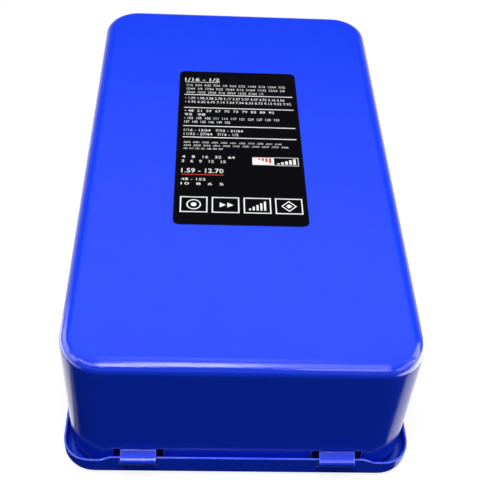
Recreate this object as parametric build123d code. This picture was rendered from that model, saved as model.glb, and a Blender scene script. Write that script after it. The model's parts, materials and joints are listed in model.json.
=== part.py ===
"""Drill bit case: a pressed steel case that holds 29 twist drills in four fanning racks.

The case lies closed on its shallow lid, with the deep shell on top. Millimetres.
X runs across the case, +Y runs from the hinge end to the latch end, +Z is up.
The origin is on the lid's outer face, in the middle of the plan.
"""

import os
from math import cos, gcd, hypot, radians, sin, tan

from build123d import *

# Deep shell
case_width = 102.0
tip_room = 12.1
shell_mouth = 3.0
corner_radius = 12.7
back_edge_radius = 4.4
sheet = 0.55

# Lid pan
skirt_reach = 1.5
lid_corner_radius = 10.0
lid_edge_radius = 2.0
skirt_height = 5.0
shoulder_height = 6.8
shoulder_half = 44.0
shoulder_ramp = 7.0
raised_height = 8.5
raised_half = 38.0
raised_ramp = 3.0

# Case hinge: rolled tabs of the shell round a strip of the lid's skirt
tab_centre = 29.6
tab_width = 10.6
tab_slot_clearance = 0.4
tab_inner_radius = 1.15
tab_bend_radius = 0.3
tab_lean = 65.0
notch_width = 2.1
notch_rise = 0.1
strip_height = 1.6
slot_height = 2.1
tab_end_angle = 60.0
quarter_turn = 90.0

# Label on the back panel
label_width = 42.4
label_length = 81.2
label_corner = 2.1
label_offset = 5.8
label_thickness = 0.15

# Racks, from the lid side (1) to the back panel (4)
rack_sheet = 0.8
rack_gap = 0.65
hole_rim = 0.5
hole_flange_heights = [20.0, 28.0, 36.0, 44.0]
rack_1_bottom = 2.8
side_clearance = 0.7
ear_gap = 0.3
corner_nesting = 3.7
pivot_to_floor = 4.5
pivot_z = 10.0
pivot_radius = 1.5
arm_half = 3.3
running_clearance = 0.08
rivet_head_radius = 2.1
rivet_head = 0.7

# Fan: as the case opens, each rack tilts a step more than the next one behind it,
# which drags it along by a pin in an arc slot
open_angle = 100.0
fan_step = 15.0
fan_pin_radius = 1.0
fan_lobe_wall = 1.4
fan_radii = [18.0, 22.0, 32.0]
fan_angles = [25.0, 45.0, 60.0]
fan_lobe_starts = [0.0, 12.0, 30.0]

# Lid links: slotted straps that draw rack 1 towards the lid
link_arm = 14.0
link_lid_z = 3.9
link_rack_z = 10.0
link_pin_radius = 1.0
link_slot_clearance = 0.3
link_wall = 1.2
link_end_radius = 2.0
link_boss_radius = 2.6
link_head_radius = 1.8
link_head = 0.35
bracket_length = 12.0
bracket_foot = 5.0

# Bits: each rack's sizes are numbers of 64ths of an inch, and jobber lengths are counts of
# eighths of an inch, one more for each size past the short ones
inch = 25.4
size_numbers = [range(4, 14), range(14, 22), range(22, 28), range(28, 33)]
short_length_counts = [15, 16, 18, 21, 22, 23, 25, 26, 28]
point_half_angle = 67.5
hole_clearance = 0.2

# Latch: a spring tongue on the lid that snaps over a bead on the shell
latch_width = 16.0
latch_sheet = 0.5
latch_stretch_half = 12.0
latch_foot_bottom = 2.8
latch_flex_z = 6.1
latch_flex_gap = 0.2
nose_z = 14.2
nose_clearance = 0.1
knee_reach = 1.7
knee_rise = 2.5
lip_reach = 3.4
lip_rise = 4.2
latch_bend_radius = 0.9
bead_z = 11.5
bead_crest = 1.0
bead_radius = 3.0
bead_length = 12.0
latch_rivet_offset = 5.0
latch_rivet_z = 4.4
latch_rivet_radius = 0.9
latch_head_radius = 1.5
latch_head = 0.45

# How far a cut runs past the sheet that it opens
overcut = 1.0


def bit_radius(size):
    """The radius of a bit, its size in 64ths of an inch."""
    return size * inch / 64 / 2


def bit_length(size):
    """The jobber length of a bit, its size in 64ths of an inch."""
    place = size - size_numbers[0].start
    past_short = max(0, place + 1 - len(short_length_counts))
    eighths = short_length_counts[place - past_short] + past_short
    return eighths * inch / 8


def rack_depth(index):
    """The depth of a rack: its web, and its largest hole between two rims."""
    return rack_sheet + 2 * (bit_radius(size_numbers[index][-1]) + hole_clearance + hole_rim)


def rack_bottom(index):
    """The lid-side height of a rack: the racks stand on one another with a gap between."""
    below = sum(rack_depth(lower) + rack_gap for lower in range(index))
    return rack_1_bottom + below


def turned(y, z, centre_y, centre_z, angle):
    """A point in (Y, Z) turned about a centre, from +Y towards +Z."""
    turn = radians(angle)
    across = (y - centre_y) * cos(turn) - (z - centre_z) * sin(turn)
    up = (y - centre_y) * sin(turn) + (z - centre_z) * cos(turn)
    return (centre_y + across, centre_z + up)


# Places worked out from the sizes above: the case is as deep as its racks, and as long as
# its longest bit, with room for the pivots behind the bit and for the hand at its tip
last_rack = len(size_numbers) - 1
longest_bit = bit_length(size_numbers[last_rack][-1])
pivot_inset = corner_radius - corner_nesting
inner_panel = rack_bottom(last_rack) + rack_depth(last_rack)
case_height = inner_panel + sheet
case_length = pivot_inset + pivot_to_floor + longest_bit + tip_room
shell_end = case_length / 2
shell_side = case_width / 2
skirt_end = shell_end + skirt_reach
skirt_outer_x = shell_side + skirt_reach + sheet / 2
skirt_outer_y = skirt_end + sheet / 2
axis_y = -skirt_end
axis_z = raised_height - strip_height / 2

# The hinge tab leans out from the wall on a tangent to the ring that it ends in
tab_outer_radius = tab_inner_radius + sheet
bend_y = -shell_end - tab_bend_radius
bend_reach = skirt_reach - tab_bend_radius + tab_bend_radius * cos(radians(tab_lean))
bend_rise = (tab_outer_radius + bend_reach * cos(radians(tab_lean))) / sin(radians(tab_lean))
bend_z = axis_z + bend_rise + tab_bend_radius * sin(radians(tab_lean))
pivot_y = -shell_end + pivot_inset
rack_floor = pivot_y + pivot_to_floor
ear_pitch = rack_sheet + ear_gap
bracket_inner = shell_side - sheet - side_clearance - rack_sheet
link_inner = bracket_inner - ear_pitch
ear_inner = link_inner - (last_rack + 1) * ear_pitch

# The strap's slot runs from the rack pin's place when closed to its place when fully open
link_y = pivot_y + link_arm
swung_pin = turned(link_y, link_rack_z, pivot_y, pivot_z, -last_rack * fan_step)
open_pin = turned(*swung_pin, axis_y, axis_z, open_angle)
link_reach = hypot(open_pin[0] - link_y, open_pin[1] - link_lid_z)


def prism_x(face, x_start, x_end):
    """Extrude a face drawn in (Y, Z) from x_start to x_end."""
    return extrude(Plane.YZ.offset(x_start) * face, amount=x_end - x_start)


def prism_y(face, y_start, y_end):
    """Extrude a face drawn in (X, Z) from y_start to y_end."""
    return extrude(Plane.XZ.offset(-y_start) * face, amount=y_start - y_end)


def cylinder_y(radius, y0, y1):
    """A cylinder along Y between two places."""
    return Pos(0, (y0 + y1) / 2, 0) * Cylinder(radius, y1 - y0, rotation=(90, 0, 0))


def block(x0, x1, y0, y1, z0, z1):
    """A box between two corners."""
    size = Box(x1 - x0, y1 - y0, z1 - z0)
    return Pos((x0 + x1) / 2, (y0 + y1) / 2, (z0 + z1) / 2) * size


def strip_yz(y0, y1, z0, z1):
    """A rectangle in (Y, Z) between two corners."""
    return Pos((y0 + y1) / 2, (z0 + z1) / 2) * Rectangle(y1 - y0, z1 - z0)


def disc_yz(y, z, radius):
    """A disc in (Y, Z)."""
    return Pos(y, z) * Circle(radius)


def polar(centre_y, centre_z, radius, angle):
    """A point in (Y, Z) at an angle from +Y towards +Z."""
    return turned(centre_y + radius, centre_z, centre_y, centre_z, angle)


def ring_sector(centre_y, centre_z, inner, outer, start, size):
    """A sector of a ring in (Y, Z)."""
    outside = CenterArc((centre_y, centre_z), outer, start, size)
    inside = CenterArc((centre_y, centre_z), inner, start, size)
    first = Line(inside @ 0, outside @ 0)
    last = Line(outside @ 1, inside @ 1)
    return make_face([first, outside, last, inside])


def arc_slot(centre_y, centre_z, radius, half_width, start, size):
    """A slot in (Y, Z) that follows an arc, with round ends."""
    slot = ring_sector(centre_y, centre_z, radius - half_width, radius + half_width, start, size)
    for angle in (start, start + size):
        slot += disc_yz(*polar(centre_y, centre_z, radius, angle), half_width)
    return slot


def both_sides(solid):
    """A piece on the right and its mirror image on the left, as separate solids."""
    return Compound(children=[solid, mirror(solid, Plane.YZ)])


def pan(width, length, radius, bottom, top, panel_at_top, edge_radius):
    """A solid rounded block with its panel edge rolled over."""
    body = Pos(0, 0, bottom) * extrude(RectangleRounded(width, length, radius), amount=top - bottom)
    panel = body.faces().sort_by(Axis.Z)[-1 if panel_at_top else 0]
    return fillet(panel.edges(), edge_radius)


def make_deep_shell():
    """The deep shell, with its hinge tabs rolled from its own end wall and its latch bead."""
    outer = pan(case_width, case_length, corner_radius, shell_mouth, case_height, True, back_edge_radius)
    inner = pan(
        case_width - 2 * sheet,
        case_length - 2 * sheet,
        corner_radius - sheet,
        shell_mouth - overcut,
        inner_panel,
        True,
        back_edge_radius - sheet,
    )
    shell = outer - inner
    notch_half = tab_width / 2 + notch_width
    for side in (-1, 1):
        middle = side * tab_centre
        shell -= block(
            middle - notch_half, middle + notch_half, -shell_end - overcut, -shell_end + sheet + overcut,
            shell_mouth - overcut, bend_z + notch_rise,
        )
        profile = strip_yz(-shell_end, -shell_end + sheet, bend_z, bend_z + notch_rise)
        profile += ring_sector(
            bend_y, bend_z, tab_bend_radius, tab_bend_radius + sheet, -tab_lean, tab_lean
        )
        lean_start = 2 * quarter_turn - tab_lean
        profile += make_face(Polyline(
            polar(bend_y, bend_z, tab_bend_radius, -tab_lean),
            polar(bend_y, bend_z, tab_bend_radius + sheet, -tab_lean),
            polar(axis_y, axis_z, tab_inner_radius, lean_start),
            polar(axis_y, axis_z, tab_outer_radius, lean_start),
            close=True,
        ))
        profile += ring_sector(
            axis_y, axis_z, tab_inner_radius, tab_outer_radius, lean_start, tab_lean + tab_end_angle + quarter_turn
        )
        shell += prism_x(profile, middle - tab_width / 2, middle + tab_width / 2)
    bead_y = shell_end + bead_crest - bead_radius
    bead = prism_x(disc_yz(bead_y, bead_z, bead_radius), -bead_length / 2, bead_length / 2)
    bead -= block(-bead_length, bead_length, 0, shell_end - sheet, 0, case_height)
    hollow_half = bead_length / 2 - sheet
    hollow = prism_x(disc_yz(bead_y, bead_z, bead_radius - sheet), -hollow_half, hollow_half)
    return shell + bead - hollow


def make_lid_shell():
    """The shallow lid pan, its skirt raised at the hinge and at the latch, slotted for the tabs.

    Towards the hinge the skirt climbs round the corners to a shoulder, and then to its full height.
    """
    width = 2 * skirt_outer_x
    length = 2 * skirt_outer_y
    outer = pan(width, length, lid_corner_radius, 0, raised_height, False, lid_edge_radius)
    inner = pan(
        width - 2 * sheet,
        length - 2 * sheet,
        lid_corner_radius - sheet,
        sheet,
        raised_height + overcut,
        False,
        lid_edge_radius - sheet,
    )
    lid = outer - inner
    above = block(-width, width, -length, length, skirt_height, raised_height + overcut)
    hinge_stretch = [
        (shoulder_half + shoulder_ramp, skirt_height),
        (shoulder_half, shoulder_height),
        (raised_half + raised_ramp, shoulder_height),
        (raised_half, raised_height),
    ]
    latch_stretch = [(latch_stretch_half + raised_ramp, skirt_height), (latch_stretch_half, raised_height)]
    for stretch, y_start, y_end in ((hinge_stretch, -length, 0), (latch_stretch, 0, length)):
        outline = [(-x, z) for x, z in stretch] + [(x, z) for x, z in reversed(stretch)]
        above -= prism_y(make_face(Polyline(*outline, close=True)), y_start, y_end)
    lid -= above
    slot_top = raised_height - strip_height
    slot_half = tab_width / 2 + tab_slot_clearance
    for side in (-1, 1):
        middle = side * tab_centre
        lid -= block(
            middle - slot_half, middle + slot_half,
            -skirt_outer_y - overcut, -skirt_outer_y + sheet + overcut,
            slot_top - slot_height, slot_top,
        )
    for side in (-1, 1):
        hole = cylinder_y(latch_rivet_radius, skirt_outer_y - sheet, skirt_outer_y)
        lid -= Pos(side * latch_rivet_offset, 0, latch_rivet_z) * hole
    return lid


def make_label():
    """The printed label on the back panel."""
    face = RectangleRounded(label_width, label_length, label_corner)
    return Pos(0, label_offset, case_height) * extrude(face, amount=label_thickness)


def bit_size_name(size):
    """The name of a bit size given in 64ths of an inch, such as 3_16."""
    common = gcd(size, 64)
    return f"{size // common}_{64 // common}"


def ear_face(index):
    """The inner face of a rack's right ear: rack 4 is innermost, rack 1 outermost."""
    return ear_inner + (last_rack - index) * ear_pitch


def bit_height(index):
    """The height of the bits' centre line in one rack."""
    return rack_bottom(index) + (rack_sheet + rack_depth(index)) / 2


def bit_places(index):
    """The (size, x) of each bit in one rack, with even gaps between them."""
    sizes = size_numbers[index]
    room = 2 * ear_face(index)
    gap = (room - sum(2 * bit_radius(size) for size in sizes)) / (len(sizes) + 1)
    x = -ear_face(index)
    places = []
    for size in sizes:
        x += gap + bit_radius(size)
        places.append((size, x))
        x += bit_radius(size)
    return places


def make_bit(size, x, height):
    """A twist drill's body: a shank end, a round body and a cone point."""
    radius = bit_radius(size)
    length = bit_length(size)
    point = radius / tan(radians(point_half_angle))
    outline = Polyline(
        (0, rack_floor), (radius, rack_floor), (radius, rack_floor + length - point),
        (0, rack_floor + length), close=True,
    )
    return Pos(x, 0, height) * revolve(make_face(outline), Axis.Y)


def make_rack(index):
    """A folded rack: a web, a floor flange, a hole flange and two pivoting ears."""
    bottom = rack_bottom(index)
    top = bottom + rack_depth(index)
    inside = ear_face(index)
    far = rack_floor + hole_flange_heights[index] + rack_sheet
    near = rack_floor - rack_sheet
    rack = block(-inside, inside, near, far, bottom, bottom + rack_sheet)
    rack += block(-inside, inside, near, rack_floor, bottom, top)
    rack += block(-inside, inside, far - rack_sheet, far, bottom, top)
    for size, x in bit_places(index):
        hole = cylinder_y(bit_radius(size) + hole_clearance, far - rack_sheet, far)
        rack -= Pos(x, 0, bit_height(index)) * hole
    ear = strip_yz(near, far, bottom, top)
    ear += disc_yz(pivot_y, pivot_z, arm_half)
    if top > pivot_z + arm_half:
        arm_top = min(top, inner_panel - back_edge_radius)
        ear += strip_yz(pivot_y - arm_half, near, max(bottom, pivot_z + arm_half), arm_top)
        ear += strip_yz(pivot_y - arm_half, pivot_y + arm_half, pivot_z, arm_top)
    else:
        ear += strip_yz(pivot_y, near, pivot_z - arm_half, top)
        ear += disc_yz(link_y, link_rack_z, link_boss_radius)
        ear -= disc_yz(link_y, link_rack_z, link_pin_radius)
    if index < len(fan_radii):
        radius = fan_radii[index]
        angle = fan_angles[index]
        half = fan_pin_radius + fan_lobe_wall
        start = fan_lobe_starts[index]
        ear += arc_slot(pivot_y, pivot_z, radius, half, start, angle + fan_step - start)
        ear -= arc_slot(
            pivot_y, pivot_z, radius, fan_pin_radius + running_clearance, angle, fan_step
        )
    if index > 0:
        ear -= disc_yz(*polar(pivot_y, pivot_z, fan_radii[index - 1], fan_angles[index - 1]), fan_pin_radius)
    ear -= disc_yz(pivot_y, pivot_z, pivot_radius + (running_clearance if index < last_rack else 0))
    right = prism_x(ear, inside, inside + rack_sheet)
    return rack + right + mirror(right, Plane.YZ)


def make_pivot_rivets():
    """The two rivets on which the racks turn, set in the ears of rack 4."""
    inner = ear_face(last_rack)
    outer = ear_face(0) + rack_sheet + running_clearance
    rivet = prism_x(disc_yz(pivot_y, pivot_z, pivot_radius), inner, outer)
    for start, end in ((inner - rivet_head, inner), (outer, outer + rivet_head)):
        rivet += prism_x(disc_yz(pivot_y, pivot_z, rivet_head_radius), start, end)
    return both_sides(rivet)


def make_fan_pins(index):
    """The stub pins set in one rack's ears that ride in the next rack's arc slots."""
    centre = polar(pivot_y, pivot_z, fan_radii[index - 1], fan_angles[index - 1])
    start = ear_face(index)
    end = ear_face(index - 1) + rack_sheet
    return both_sides(prism_x(disc_yz(*centre, fan_pin_radius), start, end))


def make_link():
    """A slotted strap, upright when the case is closed, for the right side."""
    low = link_rack_z - link_lid_z
    half = link_pin_radius + link_slot_clearance
    outside = half + link_wall
    top = link_lid_z + link_reach
    strap = disc_yz(link_y, link_lid_z, link_end_radius)
    strap += strip_yz(link_y - link_end_radius, link_y + link_end_radius, link_lid_z, link_rack_z)
    strap += strip_yz(link_y - outside, link_y + outside, link_lid_z + low / 2, top)
    strap += disc_yz(link_y, top, outside)
    strap -= disc_yz(link_y, link_lid_z, link_pin_radius + running_clearance)
    strap -= strip_yz(link_y - half, link_y + half, link_rack_z, top)
    strap -= disc_yz(link_y, link_rack_z, half)
    strap -= disc_yz(link_y, top, half)
    return prism_x(strap, link_inner, link_inner + rack_sheet)


def make_link_rack_pin():
    """The headed pin in rack 1's ear that rides in the strap's slot."""
    start = ear_face(0)
    end = link_inner + rack_sheet + running_clearance
    pin = prism_x(disc_yz(link_y, link_rack_z, link_pin_radius), start, end)
    return pin + prism_x(disc_yz(link_y, link_rack_z, link_head_radius), end, end + link_head)


def make_link_lid_rivet():
    """The rivet that carries the strap on the lid's bracket."""
    start = link_inner
    end = bracket_inner + rack_sheet
    rivet = prism_x(disc_yz(link_y, link_lid_z, link_pin_radius), start, end)
    return rivet + prism_x(disc_yz(link_y, link_lid_z, link_head_radius), end, end + link_head)


def make_lid_bracket():
    """The angle bracket on the lid's floor that carries a strap, for the right side."""
    outer = bracket_inner + rack_sheet
    low = link_y - bracket_length / 2
    high = link_y + bracket_length / 2
    foot_top = sheet + rack_sheet
    bracket = block(outer - bracket_foot, outer, low, high, sheet, foot_top)
    upright = strip_yz(low, high, sheet, foot_top)
    upright += strip_yz(link_y - link_boss_radius, link_y + link_boss_radius, sheet, link_lid_z)
    upright += disc_yz(link_y, link_lid_z, link_boss_radius)
    upright -= disc_yz(link_y, link_lid_z, link_pin_radius)
    return bracket + prism_x(upright, bracket_inner, outer)


def make_latch_foot():
    """The riveted foot of the spring latch."""
    half = latch_width / 2
    top = latch_flex_z - latch_flex_gap / 2
    foot = block(-half, half, skirt_outer_y, skirt_outer_y + latch_sheet, latch_foot_bottom, top)
    for side in (-1, 1):
        hole = cylinder_y(latch_rivet_radius, skirt_outer_y, skirt_outer_y + latch_sheet)
        foot -= Pos(side * latch_rivet_offset, 0, latch_rivet_z) * hole
    return foot


def make_latch_tongue():
    """The springing part of the latch, with its nose and its thumb lip."""
    mid = skirt_outer_y + latch_sheet / 2
    nose_mid = shell_end + bead_crest + nose_clearance + latch_sheet / 2
    line = FilletPolyline(
        (mid, latch_flex_z + latch_flex_gap / 2),
        (mid, (raised_height + nose_z) / 2),
        (nose_mid, nose_z),
        (nose_mid + knee_reach, nose_z + knee_rise),
        (nose_mid + lip_reach, nose_z + lip_rise),
        radius=latch_bend_radius,
    )
    return prism_x(trace(line, line_width=latch_sheet), -latch_width / 2, latch_width / 2)


def make_latch_rivets():
    """The two rivets that hold the latch foot on the lid's skirt."""
    inner = skirt_outer_y - sheet
    outer = skirt_outer_y + latch_sheet
    rivets = []
    for side in (-1, 1):
        rivet = cylinder_y(latch_rivet_radius, inner, outer)
        rivet += cylinder_y(latch_head_radius, inner - latch_head, inner)
        rivet += cylinder_y(latch_head_radius, outer, outer + latch_head)
        rivets.append(Pos(side * latch_rivet_offset, 0, latch_rivet_z) * rivet)
    return Compound(children=rivets)


def make_parts():
    """Every piece of the case, by node name."""
    parts = {
        "deep_shell": make_deep_shell(),
        "lid_shell": make_lid_shell(),
        "back_label": make_label(),
        "pivot_rivets": make_pivot_rivets(),
        "link_rack_pins": both_sides(make_link_rack_pin()),
        "link_lid_rivets": both_sides(make_link_lid_rivet()),
        "link_right": make_link(),
        "link_left": mirror(make_link(), Plane.YZ),
        "lid_bracket_right": make_lid_bracket(),
        "lid_bracket_left": mirror(make_lid_bracket(), Plane.YZ),
        "latch_foot": make_latch_foot(),
        "latch_tongue": make_latch_tongue(),
        "latch_rivets": make_latch_rivets(),
    }
    for index in range(last_rack + 1):
        parts[f"rack_{index + 1}"] = make_rack(index)
        if index > 0:
            parts[f"fan_pins_{index + 1}"] = make_fan_pins(index)
        for size, x in bit_places(index):
            parts[f"bit_{bit_size_name(size)}"] = make_bit(size, x, bit_height(index))
    return parts


os.makedirs("parts", exist_ok=True)
for name, shape in make_parts().items():
    export_step(shape, f"parts/{name}.step")
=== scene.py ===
"""Dresses the drill bit case: blue enamelled steel, a printed label, twist drills and plated fittings."""
import json
import math

import bpy
from mathutils import Matrix, Vector

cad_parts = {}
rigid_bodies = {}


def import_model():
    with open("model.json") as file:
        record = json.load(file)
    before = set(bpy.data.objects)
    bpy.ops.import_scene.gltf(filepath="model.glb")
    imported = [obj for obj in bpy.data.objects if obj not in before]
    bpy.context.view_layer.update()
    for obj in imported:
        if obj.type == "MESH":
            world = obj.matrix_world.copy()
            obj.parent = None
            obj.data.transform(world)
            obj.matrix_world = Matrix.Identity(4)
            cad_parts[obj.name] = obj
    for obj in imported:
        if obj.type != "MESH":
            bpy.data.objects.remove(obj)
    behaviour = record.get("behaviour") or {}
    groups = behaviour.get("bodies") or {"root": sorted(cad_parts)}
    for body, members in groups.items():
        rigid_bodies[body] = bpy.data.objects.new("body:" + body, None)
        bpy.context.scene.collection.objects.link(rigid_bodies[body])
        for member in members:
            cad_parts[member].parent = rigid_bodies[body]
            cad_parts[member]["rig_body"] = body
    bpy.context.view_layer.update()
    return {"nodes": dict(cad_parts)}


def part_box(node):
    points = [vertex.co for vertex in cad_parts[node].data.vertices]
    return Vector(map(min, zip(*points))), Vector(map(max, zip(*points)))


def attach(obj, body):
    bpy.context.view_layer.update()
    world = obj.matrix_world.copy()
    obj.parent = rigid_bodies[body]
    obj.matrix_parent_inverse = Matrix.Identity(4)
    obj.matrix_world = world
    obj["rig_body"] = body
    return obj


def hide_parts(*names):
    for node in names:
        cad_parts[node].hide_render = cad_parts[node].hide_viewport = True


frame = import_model()
nodes = frame["nodes"]


# ---------------------------------------------------------------- camera
# A camera at the hinge end, looking down at the closed case at 45 degrees.
MM = 0.001
camera_place = Vector((-13.10, -236.01, 246.28)) * MM
camera_azimuth = math.radians(-3.69)
camera_elevation = math.radians(44.99)
camera_roll = math.radians(3.84)
camera_lens = 68.35

forward = Vector((
    -math.sin(camera_azimuth) * math.cos(camera_elevation),
    math.cos(camera_azimuth) * math.cos(camera_elevation),
    -math.sin(camera_elevation),
))
level_right = Vector((math.cos(camera_azimuth), math.sin(camera_azimuth), 0.0))
level_up = level_right.cross(forward)
right = level_right * math.cos(camera_roll) + level_up * math.sin(camera_roll)
up = level_up * math.cos(camera_roll) - level_right * math.sin(camera_roll)
camera = bpy.data.objects.new("camera", bpy.data.cameras.new("camera"))
bpy.context.scene.collection.objects.link(camera)
camera.matrix_world = Matrix.Translation(camera_place) @ Matrix((right, up, -forward)).transposed().to_4x4()
camera.data.lens = camera_lens
camera.data.sensor_width = 36.0
camera.data.clip_start = 0.01
bpy.context.scene.camera = camera
bpy.context.scene.view_settings.view_transform = "Standard"


# ---------------------------------------------------------------- studio
# A white table that keeps the case's shadow, in a white surround. A big softbox above and a little
# in front lights the case, and a low one at the right lights its right wall. All the rest is seen
# in gloss alone.
def linear(hex_colour):
    """An sRGB hex colour as linear RGBA."""
    channels = [int(hex_colour[place:place + 2], 16) / 255 for place in (1, 3, 5)]
    return [c / 12.92 if c <= 0.04045 else ((c + 0.055) / 1.055) ** 2.4 for c in channels] + [1.0]


def add_node(tree, kind, settings=None, links=None, values=None):
    """Adds a node: its properties, the sockets that feed its inputs, and its inputs' own values."""
    node = tree.nodes.new(kind)
    for name, value in (settings or {}).items():
        setattr(node, name, value)
    for name, value in (values or {}).items():
        node.inputs[name].default_value = value
    for name, socket in (links or {}).items():
        tree.links.new(socket, node.inputs[name])
    return node


def seen_white(tree):
    """1 for rays that should meet a white background: camera, glossy and transmission rays."""
    path = add_node(tree, "ShaderNodeLightPath")
    either = add_node(tree, "ShaderNodeMath", {"operation": "MAXIMUM"},
                      {0: path.outputs["Is Camera Ray"], 1: path.outputs["Is Glossy Ray"]})
    return add_node(tree, "ShaderNodeMath", {"operation": "MAXIMUM"},
                    {0: either.outputs[0], 1: path.outputs["Is Transmission Ray"]}).outputs[0]


world = bpy.data.worlds.new("surround")
bpy.context.scene.world = world
world.use_nodes = True
world.node_tree.nodes.clear()
ambient = 0.08
white = seen_white(world.node_tree)

# In gloss the surround is white overhead, nearly dark at middle height and dim near the horizon. A
# height is the upward part of a ray's direction, from 0 at the horizon to 1 straight up.
dark_height, overhead_height = 0.52, 0.73
dark, overhead = 0.04, 1.0
horizon_height, horizon_end = 0.15, 0.45
horizon_glow = 0.35
heading = add_node(world.node_tree, "ShaderNodeTexCoord")
height = add_node(world.node_tree, "ShaderNodeSeparateXYZ", {}, {"Vector": heading.outputs["Generated"]})
ceiling = add_node(world.node_tree, "ShaderNodeMapRange", {}, {"Value": height.outputs["Z"]},
                   {"From Min": dark_height, "From Max": overhead_height, "To Min": dark, "To Max": overhead})
horizon = add_node(world.node_tree, "ShaderNodeMapRange", {}, {"Value": height.outputs["Z"]},
                   {"From Min": horizon_height, "From Max": horizon_end,
                    "To Min": horizon_glow, "To Max": 0.0})
room = add_node(world.node_tree, "ShaderNodeMath", {"operation": "MAXIMUM"},
                {0: ceiling.outputs[0], 1: horizon.outputs[0]})
on_camera = add_node(world.node_tree, "ShaderNodeLightPath")
surround_white = add_node(world.node_tree, "ShaderNodeMath", {"operation": "MAXIMUM"},
                          {0: room.outputs[0], 1: on_camera.outputs["Is Camera Ray"]})
strength = add_node(world.node_tree, "ShaderNodeMapRange", {},
                    {"Value": white, "To Max": surround_white.outputs[0]}, {"To Min": ambient})
background = add_node(world.node_tree, "ShaderNodeBackground", {}, {"Strength": strength.outputs[0]},
                      {"Color": (1.0, 1.0, 1.0, 1.0)})
add_node(world.node_tree, "ShaderNodeOutputWorld", {}, {"Surface": background.outputs[0]})

table_size = 6.0
table_drop = 0.2 * MM
table_glow, table_grey = 0.88, 0.14
bpy.ops.mesh.primitive_plane_add(size=table_size, location=(0.0, 0.0, -table_drop))
table = bpy.context.object
table.name = "table"
table_paint = bpy.data.materials.new("white_table")
table_paint.use_nodes = True
table_paint.node_tree.nodes.clear()
glow = add_node(table_paint.node_tree, "ShaderNodeMath", {"operation": "MULTIPLY"},
                {0: seen_white(table_paint.node_tree)}, {1: table_glow})
shine = add_node(table_paint.node_tree, "ShaderNodeEmission", {}, {"Strength": glow.outputs[0]})
matt = add_node(table_paint.node_tree, "ShaderNodeBsdfDiffuse", {}, {},
                {"Color": (table_grey, table_grey, table_grey, 1.0)})
both = add_node(table_paint.node_tree, "ShaderNodeAddShader", {}, {0: shine.outputs[0], 1: matt.outputs[0]})
add_node(table_paint.node_tree, "ShaderNodeOutputMaterial", {}, {"Surface": both.outputs[0]})
table.data.materials.append(table_paint)


def direction(azimuth, elevation):
    """The way from the case at a compass angle (0 is the camera's side) and a height angle."""
    azimuth, elevation = math.radians(azimuth), math.radians(elevation)
    return Vector((
        math.sin(azimuth) * math.cos(elevation),
        -math.cos(azimuth) * math.cos(elevation),
        math.sin(elevation),
    ))


case_middle = Vector((0.0, 0.0, 0.03))


def add_lamp(name, azimuth, elevation, distance, width, height, radiance, on_diffuse=True):
    """A softbox aimed at the case; sizes in metres, and a radiance of 1 is white."""
    away = direction(azimuth, elevation)
    lamp = bpy.data.objects.new(name, bpy.data.lights.new(name, "AREA"))
    bpy.context.scene.collection.objects.link(lamp)
    lamp.data.shape = "RECTANGLE"
    lamp.data.size = width
    lamp.data.size_y = height
    lamp.data.energy = radiance * math.pi * width * height
    lamp.location = case_middle + away * distance
    lamp.rotation_euler = away.to_track_quat("Z", "Y").to_euler()
    lamp.visible_diffuse = on_diffuse
    lamp.visible_camera = False
    return lamp


# The key lights the colours and has no reflection. The softboxes at the sides are reflected in the
# walls and rounded corners, and only the low one at the right lights the colours too.
key = add_lamp("key_softbox", -10, 80, 1.2, 0.50, 0.40, 23.0)
key.visible_glossy = False
add_lamp("left_softbox", -92, 10, 1.0, 1.30, 0.50, 5.0, on_diffuse=False)
add_lamp("right_front_softbox", 50, 14, 1.0, 0.60, 0.34, 3.5, on_diffuse=False)
add_lamp("right_softbox", 88, 22, 1.0, 0.80, 0.40, 6.0, on_diffuse=False)
add_lamp("right_softbox_low", 85, 5, 1.0, 0.45, 0.20, 7.0)


def hide_but_in_gloss(prop):
    """Leaves a prop of the studio to glossy rays alone."""
    prop.visible_camera = False
    prop.visible_diffuse = False
    prop.visible_shadow = False


# A black flag lies on the table in front of the case, turned a few degrees. It keeps the white
# table out of the front wall's reflection.
flag_width, flag_length = 0.60, 0.40
flag_turn = math.radians(6.0)
flag_pivot = (0.0, 0.2, 0.0)
flag_place = (0.0, -0.284, 0.1 * MM)
bpy.ops.mesh.primitive_plane_add(size=1.0, location=(0.0, 0.0, 0.0))
flag = bpy.context.object
flag.name = "flag"
bpy.ops.transform.resize(value=(flag_width, flag_length, 1.0))
bpy.ops.transform.rotate(value=flag_turn, orient_axis="Z", center_override=flag_pivot)
bpy.ops.transform.translate(value=flag_place)
bpy.ops.object.transform_apply(location=True, rotation=True, scale=True)
black_cloth = bpy.data.materials.new("black_cloth")
black_cloth.use_nodes = True
black_cloth.node_tree.nodes["Principled BSDF"].inputs["Base Color"].default_value = (0.0, 0.0, 0.0, 1.0)
black_cloth.node_tree.nodes["Principled BSDF"].inputs["Specular IOR Level"].default_value = 0.0
flag.data.materials.append(black_cloth)
hide_but_in_gloss(flag)


def add_panel(name, place, turn, width, height, radiance):
    """A glowing panel, seen in gloss alone; sizes in metres, and a radiance of 1 is white."""
    bpy.ops.mesh.primitive_plane_add(size=1.0, location=place, rotation=turn)
    panel = bpy.context.object
    panel.name = name
    panel.scale = (width, height, 1.0)
    glowing = bpy.data.materials.new(name + "_light")
    glowing.use_nodes = True
    glowing.node_tree.nodes.clear()
    light = add_node(glowing.node_tree, "ShaderNodeEmission", {}, {}, {"Strength": radiance})
    add_node(glowing.node_tree, "ShaderNodeOutputMaterial", {}, {"Surface": light.outputs[0]})
    glowing.cycles.emission_sampling = "NONE"
    panel.data.materials.append(glowing)
    hide_but_in_gloss(panel)


def add_front_panel(name, azimuth, elevation, width, height, radiance):
    """A glowing panel a metre away, aimed at the case."""
    away = direction(azimuth, elevation)
    add_panel(name, case_middle + away, away.to_track_quat("Z", "Y").to_euler(), width, height, radiance)


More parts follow.
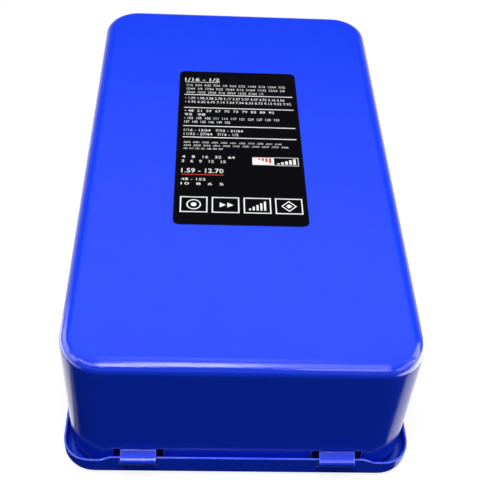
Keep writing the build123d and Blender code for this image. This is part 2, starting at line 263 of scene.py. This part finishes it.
# These panels make the highlight along the edge over the front wall and round its left corner.
add_front_panel("front_softbox", -1, 41, 0.16, 0.42, 18.0)
add_front_panel("front_softbox_left", -12, 31, 0.24, 0.34, 17.0)
add_front_panel("front_softbox_top", -3, 58, 0.42, 0.10, 5.5)
add_front_panel("front_strip_right", 15, 22, 0.28, 0.12, 12.0)
add_front_panel("front_softbox_right", 17, 44, 0.30, 0.50, 4.2)
add_front_panel("left_front_softbox", -40, 25, 0.56, 0.20, 8.0)

# A plain white screen stands close in front of the case, from a little above its edge upwards. It
# keeps those panels out of the back panel, where that is seen from behind.
screen_width = 0.50
screen_low, screen_high = 0.0592, 0.35
screen_place = (0.0, -0.0915, (screen_low + screen_high) / 2)
upright = (math.pi / 2, 0.0, 0.0)
add_panel("screen", screen_place, upright, screen_width, screen_high - screen_low, 1.0)

card_height = 0.2 * MM


def add_table_card(name, low_x, high_x, low_y, high_y, radiance):
    """A card that lies on the table, seen only in gloss; sizes in millimetres."""
    width, length = (high_x - low_x) * MM, (high_y - low_y) * MM
    card = bpy.data.objects.new(name, bpy.data.lights.new(name, "AREA"))
    bpy.context.scene.collection.objects.link(card)
    card.data.shape = "RECTANGLE"
    card.data.size = width
    card.data.size_y = length
    card.data.energy = radiance * math.pi * width * length
    card.location = ((low_x + high_x) / 2 * MM, (low_y + high_y) / 2 * MM, card_height)
    card.rotation_euler = (math.pi, 0.0, 0.0)
    card.visible_diffuse = False
    card.visible_camera = False


# The cards beside the case set how bright the table is in its side walls, and the far ones make the
# pale reflections low on its corners.
add_table_card("left_card", -160, -54, -84, 170, 0.3)
add_table_card("left_far_card", -320, -110, -150, 0, 4.0)
add_table_card("right_card", 54, 95, -86, -60, 0.15)
add_table_card("right_back_card", 54, 160, -50, 170, 0.35)
add_table_card("right_far_card", 95, 450, -170, -20, 7.0)


# ---------------------------------------------------------------- enamel
# Baked enamel on pressed sheet steel: a deep glossy blue with a faint orange peel, and painted shade
# that darkens its inside corners. It pulls thin over the sheet's cut edges, which show as pale lines,
# partly worn paint and partly a painted highlight.
enamel = bpy.data.materials.new("blue_baked_enamel")
enamel.use_nodes = True
tree = enamel.node_tree
tree.nodes.clear()
place = add_node(tree, "ShaderNodeTexCoord")
edge_round = 0.2 * MM
rounded = add_node(tree, "ShaderNodeBevel", {"samples": 6}, {}, {"Radius": edge_round})
# Pale cut edges, partly worn paint and partly a painted highlight: found where rays inside the sheet soon
# meet its other faces.
sheet_edge = 0.5 * MM
inside = add_node(tree, "ShaderNodeAmbientOcclusion", {"samples": 8, "inside": True, "only_local": True}, {},
                  {"Distance": sheet_edge})
thin_edge_and_painted_highlight = add_node(tree, "ShaderNodeMapRange", {}, {"Value": inside.outputs["AO"]},
                {"From Min": 0.55, "From Max": 0.95, "To Min": 1.0, "To Max": 0.0})
scuff_size = 6.0 * MM
scuffs = add_node(tree, "ShaderNodeTexNoise", {}, {"Vector": place.outputs["Object"]},
                  {"Scale": 1 / scuff_size, "Detail": 4.0, "Roughness": 0.6})
patchy = add_node(tree, "ShaderNodeMapRange", {}, {"Value": scuffs.outputs["Fac"]},
                  {"From Min": 0.30, "From Max": 0.62, "To Min": 0.1, "To Max": 0.34})
worn_and_painted_pale = add_node(tree, "ShaderNodeMath", {"operation": "MULTIPLY"},
                {0: thin_edge_and_painted_highlight.outputs[0], 1: patchy.outputs[0]})
cloud_size = 40.0 * MM
depth = add_node(tree, "ShaderNodeTexNoise", {}, {"Vector": place.outputs["Object"]},
                 {"Scale": 1 / cloud_size, "Detail": 2.0, "Roughness": 0.5})
body = add_node(tree, "ShaderNodeMix", {"data_type": "RGBA"}, {"Factor": depth.outputs["Fac"]},
                {"A": linear("#1240FC"), "B": linear("#1645FE")})
# Painted shade: the blue darkens to near black in inside corners, where an occlusion test finds other
# surfaces close by.
corner_reach = 6.0 * MM
openness = add_node(tree, "ShaderNodeAmbientOcclusion", {"samples": 6, "only_local": True}, {},
                    {"Distance": corner_reach})
painted_corner_shade = add_node(tree, "ShaderNodeMapRange", {}, {"Value": openness.outputs["AO"]},
                     {"From Min": 0.45, "From Max": 0.98, "To Min": 1.0, "To Max": 0.0})
body_with_painted_shade = add_node(tree, "ShaderNodeMix", {"data_type": "RGBA"},
                  {"Factor": painted_corner_shade.outputs[0], "A": body.outputs["Result"]}, {"B": linear("#02041E")})
# Pale lines on the cut edges: partly worn paint, partly a painted highlight.
colour = add_node(tree, "ShaderNodeMix", {"data_type": "RGBA"},
                  {"Factor": worn_and_painted_pale.outputs[0], "A": body_with_painted_shade.outputs["Result"]}, {"B": linear("#A3B2DE")})
peel_size, peel_depth = 1.1 * MM, 0.03 * MM
peel = add_node(tree, "ShaderNodeTexNoise", {}, {"Vector": place.outputs["Object"]},
                {"Scale": 1 / peel_size, "Detail": 2.0, "Roughness": 0.5})
bump = add_node(tree, "ShaderNodeBump", {},
                {"Height": peel.outputs["Fac"], "Normal": rounded.outputs["Normal"]},
                {"Strength": 0.05, "Distance": peel_depth})
gloss = add_node(tree, "ShaderNodeMapRange", {}, {"Value": scuffs.outputs["Fac"]},
                 {"From Min": 0.35, "From Max": 0.7, "To Min": 0.13, "To Max": 0.19})
paint = add_node(tree, "ShaderNodeBsdfPrincipled", {},
                 {"Normal": bump.outputs["Normal"], "Base Color": colour.outputs["Result"],
                  "Roughness": gloss.outputs[0]}, {"Specular IOR Level": 0.4})
add_node(tree, "ShaderNodeOutputMaterial", {}, {"Surface": paint.outputs[0]})
for name in ("deep_shell", "lid_shell", "rack_1", "rack_2", "rack_3", "rack_4"):
    nodes[name].data.materials.clear()
    nodes[name].data.materials.append(enamel)


# ---------------------------------------------------------------- label
# A black vinyl label stuck on the back panel. Its matt film is a little uneven, and dust has
# greyed its cut edge.
def edge_wear(tree, width_mm, sharpness):
    """A mask that is 1 on a piece's edges, and the rounded normal there."""
    rounded = add_node(tree, "ShaderNodeBevel", {"samples": 6}, {}, {"Radius": width_mm * MM})
    facing = add_node(tree, "ShaderNodeNewGeometry")
    agree = add_node(tree, "ShaderNodeVectorMath", {"operation": "DOT_PRODUCT"},
                     {0: rounded.outputs["Normal"], 1: facing.outputs["Normal"]})
    mask = add_node(tree, "ShaderNodeMapRange", {}, {"Value": agree.outputs["Value"]},
                    {"From Min": 1.0 - 1.0 / sharpness, "From Max": 0.995, "To Min": 1.0, "To Max": 0.0})
    return mask.outputs[0], rounded.outputs["Normal"]


vinyl = bpy.data.materials.new("black_matt_vinyl")
vinyl.use_nodes = True
tree = vinyl.node_tree
tree.nodes.clear()
place = add_node(tree, "ShaderNodeTexCoord")

# The film's real grain is finer, and this one is as coarse as it has to be to show.
film_grain_size, film_grain_depth = 0.8 * MM, 0.02 * MM
film_grain = add_node(tree, "ShaderNodeTexNoise", {}, {"Vector": place.outputs["Object"]},
                      {"Scale": 1 / film_grain_size, "Detail": 3.0, "Roughness": 0.6})
film_edge, film_normal = edge_wear(tree, 0.2, 6.0)
film_colour = add_node(tree, "ShaderNodeMix", {"data_type": "RGBA"}, {"Factor": film_grain.outputs["Fac"]},
                       {"A": linear("#020204"), "B": linear("#07070C")})
film_dust = add_node(tree, "ShaderNodeMath", {"operation": "MULTIPLY"}, {0: film_edge}, {1: 0.25})
film_worn = add_node(tree, "ShaderNodeMix", {"data_type": "RGBA"},
                     {"Factor": film_dust.outputs[0], "A": film_colour.outputs["Result"]},
                     {"B": linear("#5A5A66")})
film_bump = add_node(tree, "ShaderNodeBump", {}, {"Height": film_grain.outputs["Fac"], "Normal": film_normal},
                     {"Strength": 0.1, "Distance": film_grain_depth})
film = add_node(tree, "ShaderNodeBsdfPrincipled", {},
                {"Base Color": film_worn.outputs["Result"], "Normal": film_bump.outputs["Normal"]},
                {"Roughness": 0.5, "Specular IOR Level": 0.035})
add_node(tree, "ShaderNodeOutputMaterial", {}, {"Surface": film.outputs[0]})
nodes["back_label"].data.materials.clear()
nodes["back_label"].data.materials.append(vinyl)


# ---------------------------------------------------------------- label print
# Screen-printed ink on the vinyl, a thin film that stands just proud of it: a chart of drill
# sizes in inches, millimetres and decimals between rules, and plain shapes in outlined boxes.
def make_ink(name, ink_hex, thin_hex):
    """Screen ink: flat and slightly mottled, where less of it was laid down."""
    ink = bpy.data.materials.new(name)
    ink.use_nodes = True
    ink.node_tree.nodes.clear()
    spot = add_node(ink.node_tree, "ShaderNodeTexCoord")
    mottle_size = 0.5 * MM
    mottle = add_node(ink.node_tree, "ShaderNodeTexNoise", {}, {"Vector": spot.outputs["Object"]},
                      {"Scale": 1 / mottle_size, "Detail": 2.0})
    shade = add_node(ink.node_tree, "ShaderNodeMix", {"data_type": "RGBA"}, {"Factor": mottle.outputs["Fac"]},
                     {"A": linear(ink_hex), "B": linear(thin_hex)})
    coat = add_node(ink.node_tree, "ShaderNodeBsdfPrincipled", {}, {"Base Color": shade.outputs["Result"]},
                    {"Roughness": 0.55, "Specular IOR Level": 0.1})
    add_node(ink.node_tree, "ShaderNodeOutputMaterial", {}, {"Surface": coat.outputs[0]})
    return ink


white_ink = make_ink("white_screen_ink", "#FBFBF9", "#F0F0EF")
red_ink = make_ink("red_screen_ink", "#E04A3C", "#CC4034")
ink_film = 0.02 * MM
label_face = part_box("back_label")[1].z


def settle():
    """Applies the place, turn and size of the object in hand."""
    bpy.ops.object.transform_apply(location=True, rotation=True, scale=True)


def print_text(text, left, right, baseline, cap_height, weight=0.0):
    """A line of figures, fitted between two sides; millimetres."""
    bpy.ops.object.select_all(action="DESELECT")
    bpy.ops.object.text_add(location=(0.0, 0.0, 0.0))
    line = bpy.context.object
    line.data.body = text
    line.data.resolution_u = 2
    line.data.offset = weight
    font_capital = 0.72
    bpy.ops.object.convert(target="MESH")
    line = bpy.context.object
    low = [min(v.co[axis] for v in line.data.vertices) for axis in (0, 1)]
    high = [max(v.co[axis] for v in line.data.vertices) for axis in (0, 1)]
    line.scale = ((right - left) * MM / (high[0] - low[0]), cap_height * MM / font_capital, 1.0)
    line.location = (left * MM - low[0] * line.scale[0], baseline * MM, label_face)
    settle()
    return line


def print_bar(left, right, low, high):
    """A filled rectangle; millimetres."""
    bpy.ops.object.select_all(action="DESELECT")
    middle = ((left + right) / 2 * MM, (low + high) / 2 * MM, label_face)
    bpy.ops.mesh.primitive_plane_add(size=1.0, location=middle)
    bar = bpy.context.object
    bar.scale = ((right - left) * MM, (high - low) * MM, 1.0)
    settle()
    return bar


def hollow_out(shape, stroke):
    """Leaves only a stroke round the edge of a flat shape."""
    bpy.ops.object.mode_set(mode="EDIT")
    bpy.ops.mesh.select_all(action="SELECT")
    bpy.ops.mesh.inset(thickness=stroke * MM, use_even_offset=True)
    bpy.ops.mesh.delete(type="FACE")
    bpy.ops.object.mode_set(mode="OBJECT")
    return shape


def print_disc(x, y, radius, corners=32, turn=0.0):
    """A filled disc, or with few corners a regular shape; millimetres."""
    bpy.ops.object.select_all(action="DESELECT")
    middle = (x * MM, y * MM, label_face)
    bpy.ops.mesh.primitive_circle_add(vertices=corners, radius=radius * MM, fill_type="NGON",
                                      location=middle, rotation=(0.0, 0.0, math.radians(turn)))
    settle()
    return bpy.context.object


def finish_print(name, shapes, ink):
    """Joins flat shapes into one print and gives it the thickness of its ink."""
    bpy.ops.object.select_all(action="DESELECT")
    for shape in shapes:
        shape.select_set(True)
    bpy.context.view_layer.objects.active = shapes[0]
    bpy.ops.object.join()
    ink_layer = bpy.context.object
    ink_layer.name = name
    settle()
    bpy.ops.object.mode_set(mode="EDIT")
    bpy.ops.mesh.select_all(action="SELECT")
    same_spot = 0.001 * MM
    bpy.ops.mesh.remove_doubles(threshold=same_spot)
    bpy.ops.object.mode_set(mode="OBJECT")
    ink_layer.modifiers.new("film", "SOLIDIFY")
    ink_layer.modifiers["film"].thickness = ink_film
    ink_layer.modifiers["film"].offset = 1.0
    bpy.ops.object.modifier_apply(modifier="film")
    ink_layer.data.materials.clear()
    ink_layer.data.materials.append(ink)
    return ink_layer


def fraction(sixty_fourths):
    """A size in 64ths of an inch in its lowest terms, such as 3/16."""
    shared = math.gcd(sixty_fourths, 64)
    return f"{sixty_fourths // shared}/{64 // shared}"


sizes = list(range(4, 33))
inch = 25.4
fractions = [fraction(size) for size in sizes]
decimals = [f"{size / 64:.4f}"[1:] for size in sizes]
metric = [f"{size * inch / 64:.2f}" for size in sizes]
lengths_in_eighths = (15, 16, 18, 21, 22, 23, 25, 26, 28, *range(29, 49))
lengths = [f"{round(eighths * inch / 8)}" for eighths in lengths_in_eighths]
left, right = -19.2, 19.6
dot = "\u2022 "
white_shapes = [
    print_text("1/16 - 1/2", left, -6.6, 40.4, 1.9, weight=0.02),
    print_bar(left, -6.6, 39.55, 39.8),
    print_text("  ".join(fractions[:11]), left + 0.7, 17.2, 37.2, 1.25),
    print_text("  ".join(fractions[11:21]), left + 0.7, 17.0, 35.0, 1.25),
    print_text("  ".join(fractions[21:]), left + 0.7, 9.2, 32.8, 1.25),
    print_text(dot + " ".join(metric[:11]), left + 0.3, 16.6, 29.3, 1.3, weight=0.008),
    print_text(dot + " ".join(metric[11:22]), left + 0.3, 18.9, 27.1, 1.3, weight=0.008),
    print_text(dot + "  ".join(lengths[:10]), left + 0.3, 12.6, 21.9, 1.3, weight=0.008),
    print_text("  ".join(lengths[10:12]), left + 0.3, -11.6, 19.8, 1.3, weight=0.008),
    print_text(dot + "  ".join(lengths[12:23]), left + 0.3, 14.2, 17.7, 1.3, weight=0.008),
    print_text("  ".join(lengths[23:]), left + 0.3, -3.0, 15.6, 1.3, weight=0.008),
    print_text("1/16 - 13/64   7/32 - 21/64", left + 0.3, 1.4, 11.0, 1.3, weight=0.008),
    print_text("11/32 - 27/64   7/16 - 1/2", left + 0.3, -0.2, 8.9, 1.3, weight=0.008),
    print_text("  ".join(decimals[:11]), left + 0.3, 14.4, 4.6, 0.85),
    print_text("  ".join(decimals[11:22]), left + 0.3, 16.6, 2.95, 0.85),
    print_text("  ".join(decimals[22:]), left + 0.3, -5.6, 1.3, 0.85),
    print_text("4   8   16   32   64", left, -1.6, -3.2, 1.35, weight=0.01),
    print_text("3   6   9   12   15", left, -4.6, -5.5, 1.35, weight=0.01),
    print_text("1.59 - 12.70", left, -5.4, -10.6, 2.2, weight=0.015),
    print_text("48 - 152", left, -11.2, -14.4, 1.2),
    print_text("10  8  6  5", left, -5.4, -16.6, 1.2),
]
rule_heights = [31.75, 24.1, 13.7, 7.55]
rule_thickness = 0.42
for height in rule_heights:
    white_shapes.append(print_bar(left, right, height, height + rule_thickness))

# The plate at the right: a white half with red steps, and a black half with white steps.
white_shapes.append(hollow_out(print_bar(4.0, 19.6, -6.2, -2.0), 0.22))
white_shapes.append(print_bar(4.0, 11.4, -6.2, -2.0))
for step in range(5):
    white_shapes.append(print_bar(12.4 + step * 1.35, 13.3 + step * 1.35, -5.5, -5.0 + step * 0.58))
red_shapes = [print_bar(4.9 + step * 1.2, 5.7 + step * 1.2, -2.9 - step * 0.5, -2.6) for step in range(5)]
red_shapes.append(print_bar(left, -5.4, -11.75, -11.45))

# A row of four boxes along the bottom: a ring with a dot, chevrons, rising bars and a diamond.
box_width, box_gap, box_low, box_high = 8.7, 1.33, -29.4, -22.2
box_middle = (box_low + box_high) / 2
for place_in_row in range(4):
    box_left = left + place_in_row * (box_width + box_gap)
    white_shapes.append(hollow_out(print_bar(box_left, box_left + box_width, box_low, box_high), 0.42))
middle = left + box_width / 2
white_shapes.append(hollow_out(print_disc(middle, box_middle, 2.3), 0.4))
white_shapes.append(print_disc(middle, box_middle, 0.9))
middle += box_width + box_gap
for shift in (-1.2, 1.2):
    white_shapes.append(print_disc(middle + shift, box_middle, 1.3, corners=3, turn=-90.0))
middle += box_width + box_gap
for step in range(5):
    x = middle - 2.7 + step * 1.2
    white_shapes.append(print_bar(x, x + 0.65, box_low + 1.4, box_low + 2.2 + step * 0.85))
middle += box_width + box_gap
white_shapes.append(hollow_out(print_disc(middle, box_middle, 2.5, corners=4), 0.35))
white_shapes.append(print_disc(middle, box_middle, 1.0, corners=4))

label_print = finish_print("label_print_white", white_shapes, white_ink)
label_print_red = finish_print("label_print_red", red_shapes, red_ink)
bpy.ops.object.select_all(action="DESELECT")
label_print_red.select_set(True)
bpy.context.view_layer.objects.active = label_print_red
bpy.ops.transform.translate(value=(0.0, 0.0, ink_film))
settle()
for ink_layer in (label_print, label_print_red):
    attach(ink_layer, "shell")


# ---------------------------------------------------------------- rack numbers
# Each hole's size in white ink on the outer face of the rack's web, read from the lid side when
# the racks stand fanned out.
number_height = 2.1
number_drop = 4.2
half_figure = 0.62
web_sheet = 0.8 * MM
hole_margin = 0.7 * MM
web_heights = {"rack_1": 20.0, "rack_2": 28.0, "rack_3": 36.0, "rack_4": 44.0}
for rack, web_height in web_heights.items():
    body = nodes[rack]["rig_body"]
    held = [name for name in nodes if name.startswith("bit_") and nodes[name]["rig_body"] == body]
    floor = min(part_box(name)[0].y for name in held) / MM
    numbers = []
    thickest = 0.0
    for name in held:
        bit_low, bit_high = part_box(name)
        thickest = max(thickest, bit_high.z - bit_low.z)
        middle = (bit_low.x + bit_high.x) / 2 / MM
        text = name[len("bit_"):].replace("_", "/")
        half = half_figure * len(text)
        baseline = floor + web_height - number_drop
        numbers.append(print_text(text, -middle - half, -middle + half, baseline, number_height))
    figures = finish_print(rack + "_numbers", numbers, white_ink)
    web_face = (bit_low.z + bit_high.z) / 2 - thickest / 2 - hole_margin - web_sheet
    bpy.ops.object.select_all(action="DESELECT")
    figures.select_set(True)
    bpy.context.view_layer.objects.active = figures
    figures.rotation_euler = (0.0, math.pi, 0.0)
    settle()
    figures.location.z = web_face + label_face
    settle()
    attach(figures, body)


# ---------------------------------------------------------------- twist drills
# Jobber twist drills of high-speed steel, ground bright: two helical flutes with narrow margins
# end in a run-out above a plain shank, and the point is ground to 135 degrees.
ground_steel = bpy.data.materials.new("ground_high_speed_steel")
ground_steel.use_nodes = True
tree = ground_steel.node_tree
tree.nodes.clear()
place = add_node(tree, "ShaderNodeTexCoord")

# The grinding marks run round the drill. The real ones are finer, and these are as coarse as they
# have to be to show.
scratch_length, scratch_width, scratch_depth = 4.0 * MM, 0.25 * MM, 0.01 * MM
along = add_node(tree, "ShaderNodeMapping", {}, {"Vector": place.outputs["Object"]},
                 {"Scale": (1 / scratch_length, 1 / scratch_width, 1 / scratch_length)})
grinding = add_node(tree, "ShaderNodeTexNoise", {}, {"Vector": along.outputs[0]},
                    {"Scale": 1.0, "Detail": 3.0})
drill_edge, drill_normal = edge_wear(tree, 0.12, 3.0)
steel_tone = add_node(tree, "ShaderNodeMix", {"data_type": "RGBA"}, {"Factor": grinding.outputs["Fac"]},
                      {"A": linear("#9A978F"), "B": linear("#C2BFB6")})
steel_worn = add_node(tree, "ShaderNodeMix", {"data_type": "RGBA"},
                      {"Factor": drill_edge, "A": steel_tone.outputs["Result"]}, {"B": linear("#E2E0DA")})
steel_gloss = add_node(tree, "ShaderNodeMapRange", {}, {"Value": grinding.outputs["Fac"]},
                       {"To Min": 0.24, "To Max": 0.38})
steel_bump = add_node(tree, "ShaderNodeBump", {}, {"Height": grinding.outputs["Fac"], "Normal": drill_normal},
                      {"Strength": 0.15, "Distance": scratch_depth})
steel = add_node(tree, "ShaderNodeBsdfPrincipled", {},
                 {"Base Color": steel_worn.outputs["Result"], "Roughness": steel_gloss.outputs[0],
                  "Normal": steel_bump.outputs["Normal"]}, {"Metallic": 1.0})
add_node(tree, "ShaderNodeOutputMaterial", {}, {"Surface": steel.outputs[0]})

# The cross-section of the flutes, once, with a radius of 1: half a turn of distances from the
# axis, from the back of a land over its margin and through a flute.
half_section = [0.95, 0.95, 0.96, 1.0, 0.74, 0.46, 0.33, 0.34, 0.45, 0.66, 0.88, 0.94]
section_corners = 2 * len(half_section)
bpy.ops.object.select_all(action="DESELECT")
bpy.ops.mesh.primitive_circle_add(vertices=section_corners, radius=1.0, rotation=(math.pi / 2, 0.0, 0.0))
flute_section = bpy.context.object
settle()
for distance in sorted(set(half_section)):
    bpy.ops.object.mode_set(mode="EDIT")
    bpy.ops.mesh.select_all(action="DESELECT")
    bpy.ops.object.mode_set(mode="OBJECT")
    for corner, vertex in enumerate(flute_section.data.vertices):
        vertex.select = half_section[corner % len(half_section)] == distance
    bpy.ops.object.mode_set(mode="EDIT")
    bpy.ops.transform.resize(value=(distance, distance, distance), center_override=(0.0, 0.0, 0.0))
    bpy.ops.object.mode_set(mode="OBJECT")


same_height = 0.002 * MM


def select_ring(drill, height):
    """Selects the ring of a drill at a height along it."""
    bpy.ops.object.mode_set(mode="EDIT")
    bpy.ops.mesh.select_all(action="DESELECT")
    bpy.ops.object.mode_set(mode="OBJECT")
    for vertex in drill.data.vertices:
        vertex.select = abs(vertex.co.y - height) < same_height
    bpy.ops.object.mode_set(mode="EDIT")


def extend_ring(move, size, roundness=0.0, turn=0.0):
    """Extrudes the ring in hand along the drill, sizes it about the axis, rounds it and turns it."""
    bpy.ops.mesh.extrude_region_move(TRANSFORM_OT_translate={"value": (0.0, move, 0.0)})
    bpy.ops.transform.resize(value=(size, 1.0, size), center_override=(0.0, 0.0, 0.0))
    if roundness:
        bpy.ops.transform.tosphere(value=roundness)
    if turn:
        bpy.ops.transform.rotate(value=turn, orient_axis="Y", center_override=(0.0, 0.0, 0.0))


half_point_angle = math.radians(67.5)
helix_angle = math.radians(30)
chisel_start, chisel_width = 0.92, 0.08
angle_per_step = math.radians(15)


def make_drill(node):
    """A twist drill in place of a plain one, as long and as thick."""
    low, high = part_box(node)
    radius = (high.x - low.x) / 2
    middle_x, middle_z = (low.x + high.x) / 2, (low.z + high.z) / 2
    whole = high.y - low.y
    point = radius / math.tan(half_point_angle)

    # A thicker drill is fluted over more of its length, up to three quarters.
    fluted_share = min(0.75, 0.42 + 0.085 * math.sqrt(2 * radius / MM))
    flutes = whole * fluted_share - point
    run_out = 1.2 * radius
    helix = flutes * math.tan(helix_angle) / radius
    bpy.ops.object.select_all(action="DESELECT")
    drill = flute_section.copy()
    drill.data = flute_section.data.copy()
    drill.name = node.replace("bit_", "twist_drill_")
    bpy.context.scene.collection.objects.link(drill)
    drill.select_set(True)
    bpy.context.view_layer.objects.active = drill
    drill.scale = (radius, radius, radius)
    settle()
    sweep = drill.modifiers.new("helix", "SCREW")
    sweep.axis = "Y"
    sweep.angle = helix
    sweep.screw_offset = flutes
    sweep.steps = max(12, round(helix / angle_per_step))
    sweep.render_steps = sweep.steps
    sweep.use_merge_vertices = False
    bpy.ops.object.modifier_apply(modifier="helix")

    # The point: the far ring is drawn in to a short chisel edge, and closed.
    select_ring(drill, flutes)
    extend_ring(point * chisel_start, chisel_width)
    tip = point * (1.0 - chisel_start)
    bpy.ops.mesh.extrude_region_move(TRANSFORM_OT_translate={"value": (0.0, tip, 0.0)})
    bpy.ops.mesh.merge(type="CENTER")

    # The run-out, the shank and its chamfer, back from the near ring.
    select_ring(drill, 0.0)
    extend_ring(-run_out * 0.5, 1.08, roundness=0.45, turn=0.25)
    extend_ring(-run_out * 0.5, 1.0, roundness=1.0, turn=0.2)
    bpy.ops.object.mode_set(mode="OBJECT")
    ring = [v.co for v in drill.data.vertices if abs(v.co.y + run_out) < same_height]
    grow = radius / max(math.hypot(corner.x, corner.z) for corner in ring)
    bpy.ops.object.mode_set(mode="EDIT")
    bpy.ops.transform.resize(value=(grow, 1.0, grow), center_override=(0.0, 0.0, 0.0))
    chamfer, chamfered_end = 0.12 * radius, 0.86
    shank = whole - point - flutes - run_out - chamfer
    extend_ring(-shank, 1.0)
    extend_ring(-chamfer, chamfered_end)
    bpy.ops.mesh.edge_face_add()
    bpy.ops.mesh.select_all(action="SELECT")
    bpy.ops.mesh.normals_make_consistent(inside=False)
    bpy.ops.object.mode_set(mode="OBJECT")
    drill.location = (middle_x, high.y - point - flutes, middle_z)
    settle()
    bpy.ops.object.shade_smooth_by_angle(angle=math.radians(40))
    drill.data.materials.clear()
    drill.data.materials.append(ground_steel)
    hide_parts(node)
    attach(drill, nodes[node]["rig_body"])


for name in sorted(nodes):
    if name.startswith("bit_"):
        nodes[name].data.materials.clear()
        nodes[name].data.materials.append(ground_steel)
        make_drill(name)
bpy.data.objects.remove(flute_section)


# ---------------------------------------------------------------- zinc-plated fittings
# Links, brackets, pins and rivets of mild steel with clear zinc plate: a cool grey with a faint
# crystal bloom, rubbed brighter along its edges.
zinc = bpy.data.materials.new("clear_zinc_plate")
zinc.use_nodes = True
tree = zinc.node_tree
tree.nodes.clear()
place = add_node(tree, "ShaderNodeTexCoord")

# The plate's real crystals are finer, and these are as coarse as they have to be to show.
crystal_size, haze_size, haze_depth = 1.6 * MM, 3.0 * MM, 0.02 * MM
bloom = add_node(tree, "ShaderNodeTexVoronoi", {}, {"Vector": place.outputs["Object"]},
                 {"Scale": 1 / crystal_size})
haze = add_node(tree, "ShaderNodeTexNoise", {}, {"Vector": place.outputs["Object"]},
                {"Scale": 1 / haze_size, "Detail": 4.0})
cloud = add_node(tree, "ShaderNodeMix", {"data_type": "FLOAT"},
                 {"A": bloom.outputs["Distance"], "B": haze.outputs["Fac"]}, {"Factor": 0.55})
zinc_edge, zinc_normal = edge_wear(tree, 0.15, 5.0)
zinc_tone = add_node(tree, "ShaderNodeMix", {"data_type": "RGBA"}, {"Factor": cloud.outputs[0]},
                     {"A": linear("#9DA3AA"), "B": linear("#C3C8CD")})
zinc_worn = add_node(tree, "ShaderNodeMix", {"data_type": "RGBA"},
                     {"Factor": zinc_edge, "A": zinc_tone.outputs["Result"]}, {"B": linear("#E4E7EA")})
zinc_gloss = add_node(tree, "ShaderNodeMapRange", {}, {"Value": cloud.outputs[0]},
                      {"To Min": 0.28, "To Max": 0.44})
zinc_bump = add_node(tree, "ShaderNodeBump", {}, {"Height": haze.outputs["Fac"], "Normal": zinc_normal},
                     {"Strength": 0.1, "Distance": haze_depth})
plate = add_node(tree, "ShaderNodeBsdfPrincipled", {},
                 {"Base Color": zinc_worn.outputs["Result"], "Roughness": zinc_gloss.outputs[0],
                  "Normal": zinc_bump.outputs["Normal"]}, {"Metallic": 1.0})
add_node(tree, "ShaderNodeOutputMaterial", {}, {"Surface": plate.outputs[0]})
for name in ("link_left", "link_right", "lid_bracket_left", "lid_bracket_right", "link_rack_pins",
             "link_lid_rivets", "pivot_rivets", "fan_pins_2", "fan_pins_3", "fan_pins_4", "latch_rivets"):
    nodes[name].data.materials.clear()
    nodes[name].data.materials.append(zinc)


# ---------------------------------------------------------------- latch
# A spring tongue and its foot, pressed from nickel-plated spring steel: bright and slightly warm,
# with fine lines along the rolled strip.
nickel = bpy.data.materials.new("nickel_plated_spring_steel")
nickel.use_nodes = True
tree = nickel.node_tree
tree.nodes.clear()
place = add_node(tree, "ShaderNodeTexCoord")

# The strip's real rolling lines are finer, and these are as coarse as they have to be to show.
line_width, line_length, line_depth = 0.3 * MM, 6.0 * MM, 0.01 * MM
rolled = add_node(tree, "ShaderNodeMapping", {}, {"Vector": place.outputs["Object"]},
                  {"Scale": (1 / line_width, 1 / line_length, 1 / line_length)})
lines = add_node(tree, "ShaderNodeTexNoise", {}, {"Vector": rolled.outputs[0]},
                 {"Scale": 1.0, "Detail": 3.0})
nickel_edge, nickel_normal = edge_wear(tree, 0.12, 5.0)
nickel_tone = add_node(tree, "ShaderNodeMix", {"data_type": "RGBA"}, {"Factor": lines.outputs["Fac"]},
                       {"A": linear("#B2ADA2"), "B": linear("#D2CEC4")})
nickel_worn = add_node(tree, "ShaderNodeMix", {"data_type": "RGBA"},
                       {"Factor": nickel_edge, "A": nickel_tone.outputs["Result"]}, {"B": linear("#F0EDE6")})
nickel_gloss = add_node(tree, "ShaderNodeMapRange", {}, {"Value": lines.outputs["Fac"]},
                        {"To Min": 0.18, "To Max": 0.30})
nickel_bump = add_node(tree, "ShaderNodeBump", {}, {"Height": lines.outputs["Fac"], "Normal": nickel_normal},
                       {"Strength": 0.08, "Distance": line_depth})
spring = add_node(tree, "ShaderNodeBsdfPrincipled", {},
                  {"Base Color": nickel_worn.outputs["Result"], "Roughness": nickel_gloss.outputs[0],
                   "Normal": nickel_bump.outputs["Normal"]}, {"Metallic": 1.0})
add_node(tree, "ShaderNodeOutputMaterial", {}, {"Surface": spring.outputs[0]})
for name in ("latch_foot", "latch_tongue"):
    nodes[name].data.materials.clear()
    nodes[name].data.materials.append(nickel)
